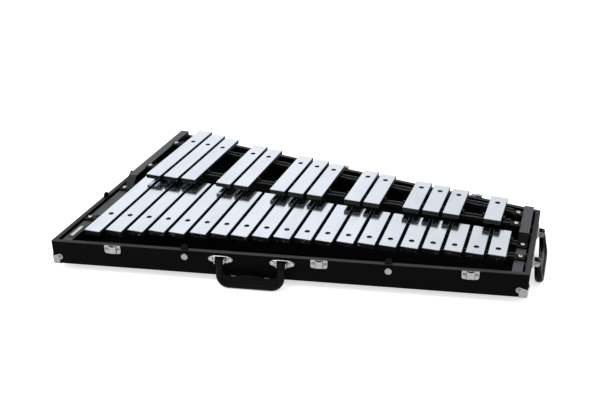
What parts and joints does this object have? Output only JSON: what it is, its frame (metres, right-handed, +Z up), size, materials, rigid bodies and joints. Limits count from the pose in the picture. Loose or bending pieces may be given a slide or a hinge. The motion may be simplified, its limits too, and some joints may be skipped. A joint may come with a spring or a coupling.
{
  "type": "glockenspiel in its carrying case",
  "caption": "Two-row metal-bar bell kit standing in the open tray of its tapered carrying case, with cord-hung bars, catch plates and swinging carry handles.",
  "frame": {"origin": "on the table under the middle of the bounding box, which takes in the side handle", "axes": "+X along the case from the long low bars to the short high ones, +Y from the player's side to the row of sharps, +Z up"},
  "size_m": [0.8746, 0.5532, 0.0911],
  "materials": {
    "bar_metal": "satin silver plating, finely brushed along the bar, dark sawn ends",
    "covered_board": "plywood under black grained vinyl covering",
    "painted_board": "dark grey-black satin paint",
    "rail_paint": "satin black paint",
    "plated_steel": "bright nickel plating on stamped steel",
    "screw_steel": "plated, slightly warm",
    "foot_rubber": "matte black",
    "locator_plastic": "smooth black tongues on the rim, bright domed studs below them",
    "handle_plastic": "fine-grained black moulding",
    "cord": "black sleeved cord",
    "plate_metal": "blank satin strip on a dark ground"
  },
  "bodies": {
    "tray": {"back_wall": "covered_board", "bar_a5": "bar_metal", "bar_a6": "bar_metal", "bar_a7": "bar_metal", "bar_as5": "bar_metal", "bar_as6": "bar_metal", "bar_as7": "bar_metal", "bar_b5": "bar_metal", "bar_b6": "bar_metal", "bar_b7": "bar_metal", "bar_c6": "bar_metal", "bar_c7": "bar_metal", "bar_c8": "bar_metal", "bar_cords": "cord", "bar_cs6": "bar_metal", "bar_cs7": "bar_metal", "bar_cs8": "bar_metal", "bar_d6": "bar_metal", "bar_d7": "bar_metal", "bar_d8": "bar_metal", "bar_ds6": "bar_metal", "bar_ds7": "bar_metal", "bar_e6": "bar_metal", "bar_e7": "bar_metal", "bar_f5": "bar_metal", "bar_f6": "bar_metal", "bar_f7": "bar_metal", "bar_fs5": "bar_metal", "bar_fs6": "bar_metal", "bar_fs7": "bar_metal", "bar_g5": "bar_metal", "bar_g6": "bar_metal", "bar_g7": "bar_metal", "bar_gs5": "bar_metal", "bar_gs6": "bar_metal", "bar_gs7": "bar_metal", "bar_screws": "screw_steel", "bottom_panel": "covered_board", "bracket_bolts": "screw_steel", "case_corners": "plated_steel", "case_feet": "foot_rubber", "catch_plates": "plated_steel", "end_boards": "painted_board", "front_wall": "covered_board", "guide_posts": "screw_steel", "handle_brackets": "plated_steel", "handle_pins": "plated_steel", "left_wall": "covered_board", "lid_hinges": "plated_steel", "lid_locators": "locator_plastic", "name_plate": "plate_metal", "natural_inner_rail": "rail_paint", "natural_outer_rail": "rail_paint", "right_wall": "covered_board", "riser_blocks": "painted_board", "sharp_inner_rail": "rail_paint", "sharp_outer_rail": "rail_paint", "wood_screws": "screw_steel"},
    "front_carry_handle": {"front_handle": "handle_plastic"},
    "side_carry_handle": {"side_handle": "handle_plastic"}
  },
  "joints": [
    {"name": "front_handle_hinge", "type": "hinge", "parent": "tray", "child": "front_carry_handle", "pos_m": [-0.0633, -0.21942, 0.0484], "axis": [-0.9847, -0.1742, 0], "range_deg": [-3, 170]},
    {"name": "side_handle_hinge", "type": "hinge", "parent": "tray", "child": "side_carry_handle", "pos_m": [0.42218, 0, 0.0484], "axis": [0, -1, 0], "range_deg": [-3, 170]}
  ]
}
